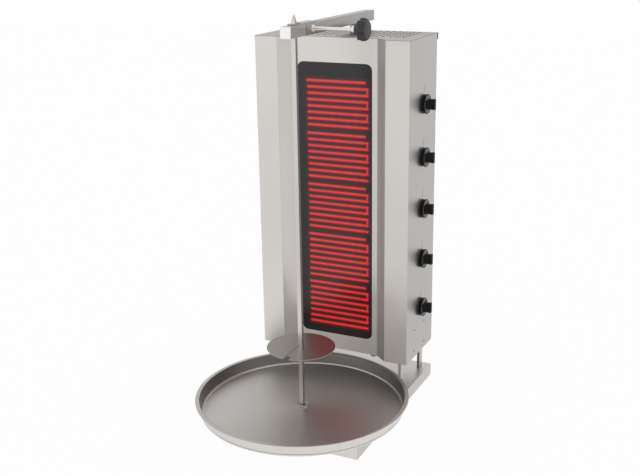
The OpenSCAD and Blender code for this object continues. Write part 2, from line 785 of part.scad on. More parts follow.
// Knob: a neck, a round skirt and a grip, which is the block that its plan and its side view share
module knob(i) translate([cabinet_w / 2 + bezel_t + slide_fit, knob_y, knob_z0 + i * knob_pitch]) rotate([0, 90, 0]) {
    neck_h = neck_d - slide_fit;
    side = grip_side();
    low_h = grip_h * grip_low_share;
    difference() {
        union() {
            cylinder(h = neck_h, d = neck_dia);
            translate([0, 0, neck_h]) cylinder(h = skirt_t, d = knob_d);
            translate([0, 0, neck_h + skirt_t]) intersection() {
                rotate([90, 0, 90]) linear_extrude(grip_h, center = true)
                    polygon(concat(side, [for (k = [len(side) - 1:-1:0]) [-side[k][0], side[k][1]]]));
                rotate([90, 0, 0]) linear_extrude(grip_root, center = true)
                    polygon([[-low_h / 2, -over], [low_h / 2, -over], [grip_h / 2, grip_d], [-grip_h / 2, grip_d]]);
            }
        }
        translate([0, 0, -over]) cylinder(h = neck_h + skirt_t + grip_d / 2 + over, d = spindle_d + 2 * run_fit);
    }
}

module knob_1() color(black) place() knob(4);
module knob_2() color(black) place() knob(3);
module knob_3() color(black) place() knob(2);
module knob_4() color(black) place() knob(1);
module knob_5() color(black) place() knob(0);

module terminal_block() color(board_white) place() {
    back = cab_back - sheet - plate_t;
    pitch = block_w / way_count;
    difference() {
        span([gland_x - block_w / 2, back - block_d, cab_z + block_z],
             [gland_x + block_w / 2, back, cab_z + block_z + block_h]);
        for (i = [0:way_count - 1]) for (h = way_shares)
            rod_y(gland_x + (i - (way_count - 1) / 2) * pitch, back - block_d - over, cab_z + block_z + h * block_h,
                  way_d, block_d / 2 + over);
    }
}

// Gland for the supply lead, low on the back
module cable_gland() color(black) place() {
    wall_y = cab_back - sheet;
    difference() {
        union() {
            rod_y(gland_x, wall_y - plate_t, cab_z + gland_z, gland_d, plate_t);
            translate([gland_x, wall_y + gland_nut_l, cab_z + gland_z]) rotate([90, 0, 0])
                cylinder(h = gland_nut_l, d = gland_nut_d, $fn = 6);
            rod_y(gland_x, wall_y, cab_z + gland_z, gland_cap_d, gland_out);
            translate([gland_x, wall_y - plate_t, cab_z + gland_z]) rotate([90, 0, 0])
                cylinder(h = gland_nut_l, d = gland_nut_d, $fn = 6);
        }
        rod_y(gland_x, wall_y - plate_t - gland_nut_l - over, cab_z + gland_z, gland_bore,
              plate_t + gland_nut_l + gland_out + 2 * over);
    }
}

module side_screws() color(steel_dark) place()
    for (s = [0, 1]) mirror([s, 0, 0]) for (c = screw_columns, r = screw_rows) {
        rod_x(cabinet_w / 2 - screw_shank_l, spit_to_cabinet + c, cab_z + r, screw_shank_d, screw_shank_l);
        rod_x(cabinet_w / 2, spit_to_cabinet + c, cab_z + r, screw_head_d, screw_head_t);
    }

// Thumb screws under the cabinet floor, behind the front panel
module thumb_screws() color(steel_dark) place()
    for (x = [-1, 1]) translate([x * thumb_x, recess_y + 2 * sheet + thumb_back, cab_z - thumb_t]) {
        cylinder(h = thumb_t, d = thumb_d);
        cylinder(h = thumb_t + thumb_thread_l, d = thumb_thread_d);
    }

// Mast and telescopic arm over the spit
module mast() color(steel) place() {
    y = cab_back - mast_end - mast_w;
    difference() {
        span([-mast_w / 2, y, cab_z + sheet], [mast_w / 2, y + mast_w, arm_z]);
        span([arm_wall - mast_w / 2, y + arm_wall, cab_z + sheet - over],
             [mast_w / 2 - arm_wall, y + mast_w - arm_wall, arm_z + over]);
    }
}

module arm_tube() color(steel) place() {
    front = block_back + joint_gap;
    inner_w = arm_w - 2 * arm_wall;
    difference() {
        span([-arm_w / 2, front, arm_z], [arm_w / 2, arm_back, arm_top]);
        span([-inner_w / 2, front - over, arm_z + arm_wall], [inner_w / 2, arm_back - arm_wall, arm_top - arm_wall]);
        rod_x(0, clamp_back, clamp_z, rod_hole, arm_w);
    }
}

module arm_bar() color(steel) place() {
    z = arm_z + arm_h / 2;
    difference() {
        span([-bar_w / 2, block_back, z - bar_h / 2], [bar_w / 2, block_back + slide_l, z + bar_h / 2]);
        span([bar_wall - bar_w / 2, block_back - over, z - bar_h / 2 + bar_wall],
             [bar_w / 2 - bar_wall, block_back + slide_l + over, z + bar_h / 2 - bar_wall]);
    }
}

// Front block: its round seat for the spit runs on as a slot, so that the arm can be drawn out
module spit_slot(z0, z1) translate([0, 0, z0]) {
    cylinder(h = z1 - z0, d = bore_d);
    translate([0, slide_travel, 0]) cylinder(h = z1 - z0, d = bore_d);
    translate([-bore_d / 2, 0, 0]) cube([bore_d, slide_travel, z1 - z0]);
}

module arm_block() color(bright) place() difference() {
    span([-arm_w / 2, -block_front, arm_z], [arm_w / 2, block_back, arm_top]);
    spit_slot(arm_z - over, arm_top + over);
}

module arm_strap() color(steel) place() difference() {
    span([-strap_w / 2, -strap_front, arm_top], [strap_w / 2, strap_back, arm_top + strap_t]);
    spit_slot(arm_top - over, arm_top + strap_t + over);
}

// Clamp: a boss on the arm, a screw with its pad, a nut and a star knob
module clamp_boss() color(bright) place() difference() {
    rod_x(arm_w / 2, clamp_back, clamp_z, boss_d, boss_l);
    rod_x(arm_w / 2 - over, clamp_back, clamp_z, rod_hole, boss_l + 2 * over);
}

module clamp_pad() color([0.75, 0.6, 0.3]) place()
    rod_x(bar_w / 2, clamp_back, clamp_z, pad_dia, pad_l);

module clamp_screw() color(bright) place() {
    tip = bar_w / 2 + pad_l;
    rod_x(tip, clamp_back, clamp_z, rod_d, star_back - tip);
    rod_x(star_back - nut_t, clamp_back, clamp_z, nut_d, nut_t);
    rod_x(star_back - over, clamp_back, clamp_z, thread_d, star_t / 2 + over);
}

module star_knob() color(black) place() translate([star_back, clamp_back, clamp_z]) rotate([0, 90, 0]) {
    steps = star_lobes * star_steps;
    // The radius swings between the lobes' tips and the hollows between them
    outline = [for (i = [0:steps - 1]) let (a = i * 360 / steps,
        r = star_d / 2 - star_hollow * (1 - cos(star_lobes * a)) / 2) [r * cos(a), r * sin(a)]];
    difference() {
        union() {
            linear_extrude(star_t) polygon(outline);
            translate([0, 0, star_t]) cylinder(h = star_dome, d1 = star_d * star_dome_share, d2 = star_d * star_top_share);
        }
        translate([0, 0, -over]) cylinder(h = star_t / 2 + over, d = thread_d + 2 * run_fit);
    }
}

base_tray();
base_plate();
rubber_feet();
gearbox();
motor();
bearing_flange();
pan_rests();
posts_left();
posts_right();
drive_shaft();
drive_cup();
drip_pan();
spit();
meat_disc();
disc_pin();
cabinet_floor();
bracket_left();
bracket_right();
side_panel_left();
side_panel_right();
wing_left();
wing_right();
front_panel();
ceramic_sheet();
heater_frame();
insulation_boards();
heater_1();
heater_2();
heater_3();
heater_4();
heater_5();
back_panel();
top_cover();
energy_regulators();
knob_bezels();
spindle_1();
spindle_2();
spindle_3();
spindle_4();
spindle_5();
knob_1();
knob_2();
knob_3();
knob_4();
knob_5();
terminal_block();
cable_gland();
side_screws();
thumb_screws();
mast();
arm_tube();
arm_bar();
arm_block();
arm_strap();
clamp_boss();
clamp_pad();
clamp_screw();
star_knob();
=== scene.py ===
# %% [markdown]
# # An upright electric grill, dressed for its picture
# The grill is a tall cabinet of folded stainless sheet with five glowing heating zones behind one
# black ceramic sheet. In front of it stand a square spit, a thin round disc and a wide drip pan.
# The solid model comes from CAD as a fixed frame. This lesson gives it finishes, rounds the
# edges that catch the light, and builds the pieces whose shape is richer than their solid.

# %% Load the solid model
import math

import bmesh
import bpy
from mathutils import Matrix, Vector


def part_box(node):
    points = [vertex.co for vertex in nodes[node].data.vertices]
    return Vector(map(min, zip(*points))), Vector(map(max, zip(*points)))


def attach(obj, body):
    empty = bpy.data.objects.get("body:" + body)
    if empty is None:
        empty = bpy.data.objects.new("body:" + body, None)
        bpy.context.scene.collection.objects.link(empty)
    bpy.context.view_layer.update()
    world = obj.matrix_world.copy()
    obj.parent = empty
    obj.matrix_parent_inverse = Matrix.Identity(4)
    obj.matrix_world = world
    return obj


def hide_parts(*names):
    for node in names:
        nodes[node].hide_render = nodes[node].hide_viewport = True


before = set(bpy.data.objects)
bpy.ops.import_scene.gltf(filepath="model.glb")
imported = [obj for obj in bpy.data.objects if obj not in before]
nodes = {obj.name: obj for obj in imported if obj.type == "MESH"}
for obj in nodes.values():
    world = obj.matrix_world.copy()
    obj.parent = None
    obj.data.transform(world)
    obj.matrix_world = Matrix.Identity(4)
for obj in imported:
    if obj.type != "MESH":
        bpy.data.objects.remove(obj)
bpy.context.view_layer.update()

# %% [markdown]
# ## The camera
# The picture was taken from the right, a little above the grill, with a moderate lens. Those
# numbers were found once by matching corners, so the camera is written down as a place, three
# angles and a focal length in picture widths. The rotation is built from three directions:
# where the camera's back points, what is right of it and what is up.

# %% Camera
eye = Vector((1.2491, -2.5467, 1.4491))
turn, dip, roll = (math.radians(a) for a in (25.78, 17.46, -0.89))
focal_in_widths = 996.88 / 640

back = Vector((math.sin(turn) * math.cos(dip), -math.cos(turn) * math.cos(dip), math.sin(dip)))
level_right = Vector((math.cos(turn), math.sin(turn), 0))
level_up = back.cross(level_right)
right = math.cos(roll) * level_right + math.sin(roll) * level_up
up = -math.sin(roll) * level_right + math.cos(roll) * level_up

camera_data = bpy.data.cameras.new("camera")
camera_data.sensor_fit = "HORIZONTAL"
camera_data.sensor_width = 36
camera_data.lens = 36 * focal_in_widths
camera = bpy.data.objects.new("camera", camera_data)
bpy.context.collection.objects.link(camera)
camera.matrix_world = Matrix.Translation(eye) @ Matrix((right, up, back)).transposed().to_4x4()
bpy.context.scene.camera = camera
print("lens:", round(camera_data.lens, 2), "mm")

# %% [markdown]
# ## The studio
# Brushed steel has almost no colour of its own: it shows a blurred picture of the room. So the
# room matters more than the lamps. A white room, seen by the camera and by every reflection, and
# a pale floor give the even grey of the sheets. A lamp adds to the room's white where a sheet
# mirrors it, so both softboxes are weak and only lift the plastics and the edges.

# %% World
scene = bpy.context.scene
scene.view_settings.view_transform = "Standard"
room_light, room_seen = 0.75, 1.0


def reflection_or_camera(tree):
    """1 for what the camera, a reflection or a clear material sees, and 0 for diffuse light."""
    path = tree.nodes.new("ShaderNodeLightPath")
    first = tree.nodes.new("ShaderNodeMath")
    first.operation = "MAXIMUM"
    tree.links.new(path.outputs["Is Camera Ray"], first.inputs[0])
    tree.links.new(path.outputs["Is Glossy Ray"], first.inputs[1])
    both = tree.nodes.new("ShaderNodeMath")
    both.operation = "MAXIMUM"
    tree.links.new(first.outputs[0], both.inputs[0])
    tree.links.new(path.outputs["Is Transmission Ray"], both.inputs[1])
    return both.outputs[0]


world = bpy.data.worlds.new("white_studio")
scene.world = world
world.use_nodes = True
tree = world.node_tree
tree.nodes.clear()
room = tree.nodes.new("ShaderNodeBackground")
room.inputs["Color"].default_value = (1, 1, 1, 1)
strength = tree.nodes.new("ShaderNodeMapRange")
strength.inputs["To Min"].default_value = room_light
strength.inputs["To Max"].default_value = room_seen
tree.links.new(reflection_or_camera(tree), strength.inputs["Value"])
tree.links.new(strength.outputs["Result"], room.inputs["Strength"])
world_out = tree.nodes.new("ShaderNodeOutputWorld")
tree.links.new(room.outputs[0], world_out.inputs["Surface"])
print("room: light", room_light, "seen as", room_seen)

# %% Floor
floor_half, floor_drop, floor_paint, floor_white = 12, 0.0005, 0.9, 0.97

floor_material = bpy.data.materials.new("studio_floor")
floor_material.use_nodes = True
tree = floor_material.node_tree
tree.nodes.clear()
paint = tree.nodes.new("ShaderNodeBsdfDiffuse")
paint.inputs["Color"].default_value = (floor_paint, floor_paint, floor_paint, 1)
white_glow = tree.nodes.new("ShaderNodeEmission")
blend = tree.nodes.new("ShaderNodeMixShader")
glow_share = tree.nodes.new("ShaderNodeMath")
glow_share.operation = "MULTIPLY"
glow_share.inputs[1].default_value = floor_white
tree.links.new(reflection_or_camera(tree), glow_share.inputs[0])
tree.links.new(glow_share.outputs[0], blend.inputs["Fac"])
tree.links.new(paint.outputs[0], blend.inputs[1])
tree.links.new(white_glow.outputs[0], blend.inputs[2])
floor_out = tree.nodes.new("ShaderNodeOutputMaterial")
tree.links.new(blend.outputs[0], floor_out.inputs["Surface"])

bm = bmesh.new()
bmesh.ops.create_grid(bm, x_segments=1, y_segments=1, size=floor_half)
floor_mesh = bpy.data.meshes.new("floor")
bm.to_mesh(floor_mesh)
bm.free()
floor_mesh.materials.append(floor_material)
floor = bpy.data.objects.new("floor", floor_mesh)
floor.location.z = -floor_drop
bpy.context.collection.objects.link(floor)
print("floor:", 2 * floor_half, "m wide")


# %% Lamps
def softbox(name, azimuth, distance, height, size, radiance, aim):
    """A rectangular lamp. Azimuth 0 stands in front of the grill, positive to its right."""
    lamp = bpy.data.lights.new(name, "AREA")
    lamp.shape = "RECTANGLE"
    lamp.size, lamp.size_y = size
    lamp.energy = radiance * math.pi * size[0] * size[1]
    holder = bpy.data.objects.new(name, lamp)
    a = math.radians(azimuth)
    holder.location = (math.sin(a) * distance, -math.cos(a) * distance, height)
    towards = Vector(aim) - holder.location
    holder.rotation_euler = towards.to_track_quat("-Z", "Y").to_euler()
    bpy.context.collection.objects.link(holder)


softbox("front_left_box", -33, 3.6, 1.0, (3.0, 2.2), 0.18, aim=(0, 0, 0.5))
softbox("right_box", 80, 3.6, 2.3, (1.6, 1.2), 0.35, aim=(0, 0, 0.6))

# %% [markdown]
# ## Finishes
# A small toolbox builds node trees in a readable way: each helper makes one node and returns its
# output. All patterns read Object coordinates, which here are plain metres in the grill's own
# frame, so a brushed grain keeps its real size on every sheet.


# %% Node helpers
class Shader:
    """One material's node tree, with short ways to add nodes."""

    socket_names = {"base": "Base Color", "metal": "Metallic", "rough": "Roughness",
                    "shine": "Specular IOR Level", "glow": "Emission Color",
                    "glow_strength": "Emission Strength"}

    def __init__(self, name):
        self.material = bpy.data.materials.new(name)
        self.material.use_nodes = True
        self.tree = self.material.node_tree
        self.surface = self.tree.nodes["Principled BSDF"]
        self.place = self.tree.nodes.new("ShaderNodeTexCoord").outputs["Object"]

    def _feed(self, socket, value):
        if isinstance(value, bpy.types.NodeSocket):
            self.tree.links.new(value, socket)
        else:
            socket.default_value = value

    def math(self, operation, a, b=0.0):
        node = self.tree.nodes.new("ShaderNodeMath")
        node.operation = operation
        for socket, value in zip(node.inputs, (a, b)):
            self._feed(socket, value)
        return node.outputs[0]

    def axes(self):
        node = self.tree.nodes.new("ShaderNodeSeparateXYZ")
        self.tree.links.new(self.place, node.inputs[0])
        return node.outputs["X"], node.outputs["Y"], node.outputs["Z"]

    def noise(self, scale, detail=2.0):
        """A cloudy pattern. scale is how many clouds there are to a metre along each axis."""
        mapping = self.tree.nodes.new("ShaderNodeMapping")
        self.tree.links.new(self.place, mapping.inputs["Vector"])
        mapping.inputs["Scale"].default_value = scale
        node = self.tree.nodes.new("ShaderNodeTexNoise")
        node.inputs["Scale"].default_value = 1.0
        node.inputs["Detail"].default_value = detail
        self.tree.links.new(mapping.outputs[0], node.inputs["Vector"])
        return node.outputs["Fac"]

    def between(self, value, low, high, start=0.3, end=0.7, smooth=False):
        """low where value is start or less, high where it is end or more."""
        node = self.tree.nodes.new("ShaderNodeMapRange")
        if smooth:
            node.interpolation_type = "SMOOTHSTEP"
        self._feed(node.inputs["Value"], value)
        node.inputs["From Min"].default_value = start
        node.inputs["From Max"].default_value = end
        node.inputs["To Min"].default_value = low
        node.inputs["To Max"].default_value = high
        return node.outputs["Result"]

    def mix(self, factor, a, b, mode="MIX"):
        """Two colours. The factor may pass 1, so that a shade can also brighten a tone."""
        node = self.tree.nodes.new("ShaderNodeMix")
        node.data_type = "RGBA"
        node.clamp_factor = False
        node.blend_type = mode
        self._feed(node.inputs["Factor"], factor)
        self._feed(node.inputs["A"], a)
        self._feed(node.inputs["B"], b)
        return [s for s in node.outputs if s.type == "RGBA"][0]

    def colour(self, *rgb):
        return (*rgb, 1.0)

    def shaded(self, colour, shade):
        """A colour times a grey shade that is 1 where the colour stays as it is."""
        grey = self.mix(shade, self.colour(0, 0, 0), self.colour(1, 1, 1))
        return self.mix(1.0, colour, grey, "MULTIPLY")

    def bump(self, height, depth, strength):
        node = self.tree.nodes.new("ShaderNodeBump")
        node.inputs["Strength"].default_value = strength
        node.inputs["Distance"].default_value = depth
        self.tree.links.new(height, node.inputs["Height"])
        self.tree.links.new(node.outputs[0], self.surface.inputs["Normal"])

    def set(self, **values):
        for key, value in values.items():
            self._feed(self.surface.inputs[self.socket_names[key]], value)
        return self.material


print("short names for sockets:", list(Shader.socket_names))

# %% [markdown]
# ### Satin steel
# Stainless sheet is ground along one direction. Real grain is far finer than a pixel here, so it
# shows as a slight streakiness in tone and roughness, and it spreads reflections. A stretched
# noise gives the streaks, a slow noise gives the faint cloudiness of handled sheet. Near the pan
# and at the rear the sheets mirror other things than the plain room, so a tone may also fade
# from one end of a sheet to the other: a painted reflection, lighter or darker along the sheet.


# %% Steel
def satin_steel(name, tone, rough, grain, streak=0.015, cloud=0.02, fade=None):
    """Ground sheet. fade is an axis, its start and end, and the tone's share at the start."""
    s = Shader(name)
    fine = s.noise(grain, detail=3.0)
    slow = s.noise((3.0, 3.0, 3.0), detail=1.0)
    shade = s.math("MULTIPLY", s.between(fine, 1 - streak, 1 + streak),
                   s.between(slow, 1 - cloud, 1 + cloud))
    # The fade paints light or shade along one axis of the sheet
    if fade:
        axis, start, end, share = fade
        faded = s.between(s.axes()[axis], share, 1.0, start, end, smooth=True)
        shade = s.math("MULTIPLY", shade, faded)
    s.bump(fine, 0.00005, 0.3)
    return s.set(base=s.shaded(s.colour(*tone), shade), metal=1.0,
                 rough=s.between(fine, rough - 0.03, rough + 0.03))


X, Y, Z = range(3)
warm = (1.0, 0.955, 0.915)
# Clouds to a metre along x, y and z: few along the grain and many across it
upright_grain = (900, 900, 6)
across_grain = (6, 900, 900)
lengthwise_grain = (900, 6, 900)
disc_grain = (60, 900, 60)
fine_grain = (300, 300, 300)
dull_grain = (200, 200, 200)
pan_grain = (60, 60, 60)
pan_wall_grain = (60, 60, 200)


def warm_grey(level):
    return tuple(level * w for w in warm)


# Painted reflection of the pan's light near a sheet's foot, or painted shade where share is below
# 1
def foot_fade(share):
    """Paler towards the sheet's foot where share is above 1, and darker where it is below."""
    return (Z, 0.18, 0.62, share)


# Painted light: the fronts get a paler lit copy of the side sheet, also painted paler towards its
# foot
steel_lit_front = satin_steel("satin_sheet_painted_lit", warm_grey(0.625), 0.36, upright_grain,
                          fade=foot_fade(1.16))
# Painted shade: the sides and the back get the darker copy of the same sheet
steel_shaded_side = satin_steel("satin_sheet_painted_shade", warm_grey(0.485), 0.40, upright_grain)
# Painted light: the left wing is a lit copy, paler towards its foot; the right wing a painted
# shade copy, darker towards its foot
steel_wing_left = satin_steel("left_reflector_steel", warm_grey(0.60), 0.32, upright_grain,
                              fade=foot_fade(1.16))
steel_wing_right = satin_steel("right_reflector_steel", (0.444, 0.446, 0.429), 0.55,
                               upright_grain, fade=foot_fade(0.92))
# Painted shade: the top cover is darker than the fronts, and painted paler towards its front edge
steel_cover = satin_steel("cover_steel", warm_grey(0.275), 0.38, across_grain,
                          fade=(Y, 0.12, 0.36, 1.26))
steel_arm = satin_steel("arm_steel", warm_grey(0.33), 0.34, lengthwise_grain)
steel_block = satin_steel("milled_block_steel", warm_grey(0.42), 0.34, lengthwise_grain)
# Painted shade for the arm's undersides and the two ends at the gap between block and tube
steel_painted_shade = satin_steel("arm_painted_shade_steel", warm_grey(0.05), 0.5, dull_grain)
steel_rod = satin_steel("polished_rod_steel", warm_grey(0.72), 0.22, fine_grain, streak=0.01)
# Painted highlight: the block's front face is painted almost white
steel_end_painted_highlight = satin_steel("end_face_painted_highlight", (0.80, 0.775, 0.775), 0.30, fine_grain,
                        streak=0.01)
# Painted reflections on the pan: the floor is painted paler towards the left, the corner gets a
# painted highlight, the wall and the rim's inner edge painted shade, the outside painted light
steel_pan = satin_steel("pressed_pan_steel", warm_grey(0.435), 0.44, pan_grain,
                        fade=(X, -0.30, 0.02, 1.3))
steel_pan_flange = satin_steel("pan_flange_steel", warm_grey(0.46), 0.40, pan_grain)
steel_pan_edge_shade = satin_steel("pan_edge_painted_shade", warm_grey(0.16), 0.40, pan_grain)
steel_pan_wall_shade = satin_steel("pan_wall_painted_shade", warm_grey(0.24), 0.36, pan_wall_grain)
steel_pan_corner_highlight = satin_steel("pan_corner_painted_highlight", warm_grey(0.50), 0.34, pan_grain)
steel_pan_outside_lit = satin_steel("pan_outer_painted_lit", warm_grey(0.70), 0.40, pan_grain)
steel_disc = satin_steel("disc_steel", warm_grey(0.36), 0.36, disc_grain)
steel_base = satin_steel("base_steel", warm_grey(0.55), 0.38, across_grain)
# Painted light: the base's front faces get a paler lit copy of the base sheet
steel_base_lit_front = satin_steel("base_front_painted_lit", warm_grey(0.68), 0.38, across_grain)
steel_post = satin_steel("post_steel", warm_grey(0.50), 0.30, upright_grain)
# Painted light: the spit is painted paler towards its foot, and its right faces get a darker
# painted shade copy that pales more there
steel_spit = satin_steel("ground_spit_steel", warm_grey(0.58), 0.28, upright_grain,
                         fade=(Z, 0.12, 0.62, 1.22))
steel_spit_side = satin_steel("shaded_spit_steel", warm_grey(0.36), 0.30, upright_grain,
                              fade=(Z, 0.12, 0.62, 1.5))
steel_bright = satin_steel("polished_steel", warm_grey(0.85), 0.20, fine_grain, streak=0.01)
steel_inner = satin_steel("zinc_steel", warm_grey(0.34), 0.45, dull_grain, streak=0.05)
brass_pad = satin_steel("brass", (0.62, 0.42, 0.16), 0.3, fine_grain)
print("materials so far:", len(bpy.data.materials))

# %% [markdown]
# ### Black plastic, rubber and the hidden parts
# Moulded black plastic is rarely pure black: a low sheen and a fine leathery bump lift its edges.
# The pieces inside the cabinet are never seen in the picture, but they get honest finishes too.


# %% Plastics
def moulded(name, tone, rough, shine, grain=900, depth=0.00006):
    s = Shader(name)
    fine = s.noise((grain, grain, grain), detail=2.0)
    slow = s.noise((20, 20, 20), detail=1.0)
    dim = tuple(c * 0.85 for c in tone)
    base = s.mix(s.between(slow, 0, 1), s.colour(*dim), s.colour(*tone))
    s.bump(fine, depth, 0.4)
    return s.set(base=base, metal=0.0, rough=s.between(fine, rough - 0.05, rough + 0.05),
                 shine=shine)


knob_black = moulded("knob_plastic", (0.009, 0.009, 0.009), 0.52, 0.13)
bezel_black = moulded("bezel_plastic", (0.018, 0.018, 0.019), 0.5, 0.2)
star_black = moulded("star_knob_plastic", (0.032, 0.033, 0.035), 0.45, 0.4)
knob_inset = moulded("knob_inset_grey", (0.22, 0.222, 0.225), 0.6, 0.2)
scale_mark = moulded("scale_mark_grey", (0.09, 0.088, 0.085), 0.6, 0.2)
rubber_black = moulded("foot_rubber", (0.02, 0.02, 0.02), 0.7, 0.3, grain=500)
fibre_board = moulded("insulation_fibre", (0.74, 0.70, 0.60), 0.9, 0.2, grain=250, depth=0.0004)
heat_white = moulded("heatproof_moulding", (0.72, 0.68, 0.60), 0.5, 0.4)
gland_black = moulded("gland_nylon", (0.02, 0.02, 0.021), 0.5, 0.4)
print("materials so far:", len(bpy.data.materials))

# %% [markdown]
# ### The glowing ceramic sheet
# Behind the black ceramic sheet each zone has one long heating band, laid in eight straight runs.
# Its glow reaches the eye only through the sheet, so the picture shows soft red bars that lie in
# the sheet itself. The pattern is worked out from distances: for every point, how far is it to
# the nearest bar with round ends. A smooth ramp over the bar's edge makes the core, and a slow
# fall beyond it makes the halo.

# %% Ceramic sheet
runs, zones = 8, 5
band_low, band_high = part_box("heater_5")
band_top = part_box("heater_1")[1]
line_h = 0.0086
line_pitch = (band_high.z - band_low.z - line_h) / (runs - 1)
zone_pitch = (band_top.z - band_high.z) / (zones - 1)
zone_h = (runs - 1) * line_pitch
first_line = band_low.z + line_h / 2
# Where the glow lies beside its band
joint_inset, start_inset, top_run_start = 0.0012, 0.004, 0.002
lowest_nudge, other_nudge, nudge_clear = 0.0009, -0.0011, 0.004
joint_x = band_high.x - line_h / 2 - joint_inset
joint_half = line_h * 0.36
never = 0.05
print("lines every", round(line_pitch * 1000, 2), "mm")
print("zones every", round(zone_pitch * 1000, 2), "mm")


def ceramic_glass():
    s = Shader("ceramic_sheet_with_glow")
    x, y, z = s.axes()
    margin = (zone_pitch - zone_h) / 2
    # Height inside a zone, then which of the eight runs is nearest. The glow of the lowest zone
    # is seen a millimetre higher and that of the others a millimetre lower than their bands.
    nudge = s.between(z, lowest_nudge, other_nudge, first_line + zone_h + nudge_clear,
                      first_line + zone_pitch - nudge_clear)
    from_first = s.math("SUBTRACT", s.math("SUBTRACT", z, nudge), first_line - margin)
    in_zone = s.math("SUBTRACT", s.math("FLOORED_MODULO", from_first, zone_pitch), margin)
    steps = s.math("DIVIDE", in_zone, line_pitch)
    nearest = s.math("MINIMUM", s.math("MAXIMUM", s.math("ROUND", steps), 0.0), runs - 1.0)
    dz = s.math("SUBTRACT", in_zone, s.math("MULTIPLY", nearest, line_pitch))
    # The uppermost run starts a little further left, and it stops short on the right
    top_run = s.math("GREATER_THAN", nearest, runs - 1.5)
    left = s.math("SUBTRACT", band_low.x + line_h / 2 + start_inset,
                  s.math("MULTIPLY", top_run, top_run_start))
    right_end = s.math("SUBTRACT", joint_x, s.math("MULTIPLY", top_run, line_h))
    dx = s.math("MAXIMUM", s.math("SUBTRACT", left, x), s.math("SUBTRACT", x, right_end))
    dx = s.math("MAXIMUM", dx, 0.0)
    reach = s.math("SQRT", s.math("ADD", s.math("MULTIPLY", dx, dx), s.math("MULTIPLY", dz, dz)))
    to_run = s.math("SUBTRACT", reach, line_h / 2)
    # Upright joints between the runs 1-2, 3-4 and 5-6, where the lowest run is number 0
    to_joint = s.math("SUBTRACT", s.math("ABSOLUTE", s.math("SUBTRACT", x, joint_x)), joint_half)
    joined = s.math("GREATER_THAN", s.math("FLOORED_MODULO", s.math("FLOOR", steps), 2.0), 0.5)
    joined = s.math("MULTIPLY", joined, s.math("LESS_THAN", steps, runs - 1.5))
    joined = s.math("MULTIPLY", joined, s.math("GREATER_THAN", steps, 0.5))
    away = s.math("MULTIPLY", s.math("SUBTRACT", 1.0, joined), never)
    distance = s.math("MINIMUM", to_run, s.math("ADD", to_joint, away))
    inside = s.math("MULTIPLY", s.math("GREATER_THAN", from_first, 0.0),
                    s.math("LESS_THAN", from_first, zones * zone_pitch))
    core_ramp = s.between(distance, 1.0, 0.0, -0.0036, 0.0022, smooth=True)
    halo_ramp = s.between(distance, 1.0, 0.0, -0.001, 0.014, smooth=True)
    core = s.math("MULTIPLY", core_ramp, inside)
    halo = s.math("MULTIPLY", halo_ramp, inside)
    spots = s.between(s.noise((55, 1, 25), detail=1.0), 0.88, 1.06)
    hot = s.mix(core, s.colour(0.044, 0.0, 0.0), s.colour(0.78, 0.016, 0.017))
    glow = s.mix(s.math("MAXIMUM", core, halo), s.colour(0, 0, 0), hot)
    black = s.mix(s.noise((40, 40, 40)), s.colour(0.003, 0.003, 0.003),
                  s.colour(0.006, 0.006, 0.006))
    return s.set(base=black, metal=0.0, rough=0.22, shine=0.5, glow=s.shaded(glow, spots),
                 glow_strength=1.0)


def glowing_band():
    s = Shader("hot_heating_band")
    warmth = s.between(s.noise((60, 60, 60)), 0.0, 1.0)
    lit = s.mix(warmth, s.colour(0.75, 0.05, 0.03), s.colour(0.95, 0.10, 0.06))
    return s.set(base=s.colour(0.12, 0.03, 0.02), rough=0.7, glow=lit, glow_strength=1.0)


ceramic_black = ceramic_glass()
hot_band = glowing_band()

# %% [markdown]
# ### One finish for every solid piece
# A piece whose CAD shape is already right only needs a material in its slot. The pieces that are
# built anew further down take their first finish from the same list.

# %% Give every solid piece its finish
finish_of = {
    "base_tray": steel_base, "base_plate": steel_inner, "rubber_feet": rubber_black,
    "gearbox": steel_inner, "motor": steel_inner, "bearing_flange": steel_inner,
    "pan_rests": rubber_black, "posts_left": steel_post, "posts_right": steel_post,
    "drive_shaft": steel_bright, "drive_cup": steel_pan, "drip_pan": steel_pan,
    "spit": steel_spit, "meat_disc": steel_disc, "disc_pin": steel_spit,
    "cabinet_floor": steel_inner, "bracket_left": steel_inner, "bracket_right": steel_inner,
    "side_panel_left": steel_shaded_side, "side_panel_right": steel_shaded_side,
    "wing_left": steel_wing_left, "wing_right": steel_wing_right, "front_panel": steel_lit_front,
    "ceramic_sheet": ceramic_black, "heater_frame": steel_inner,
    "insulation_boards": fibre_board, "back_panel": steel_shaded_side, "top_cover": steel_cover,
    "energy_regulators": heat_white, "knob_bezels": bezel_black, "terminal_block": heat_white,
    "cable_gland": gland_black, "side_screws": steel_inner, "thumb_screws": steel_inner,
    "mast": steel_arm, "arm_tube": steel_arm, "arm_bar": steel_inner,
    "arm_block": steel_block, "arm_strap": steel_arm, "clamp_boss": steel_bright,
    "clamp_pad": brass_pad, "clamp_screw": steel_rod, "star_knob": star_black,
}
for i in range(1, zones + 1):
    finish_of[f"heater_{i}"] = hot_band
    finish_of[f"spindle_{i}"] = steel_bright
    finish_of[f"knob_{i}"] = knob_black

for name, piece in nodes.items():
    piece.data.materials.clear()
    piece.data.materials.append(finish_of[name])
print("finishes given to", len(nodes), "solid pieces")

# %% [markdown]
# ## Folded and machined edges
# No edge on a real sheet or block is perfectly sharp: a narrow round catches the light and draws
# the outline. The solids come as loose triangles, so a copy is merged, its flat triangles are
# dissolved into whole faces, and only then the long sharp edges are bevelled. A face may get a
# second finish by the way it looks, which paints light or shade on it, such as the cabinet's
# painted lit fronts against its painted shaded sides.

# %% Helpers for new pieces
merge_dist = 1e-6
flat_angle, fold_angle = math.radians(0.5), math.radians(30)


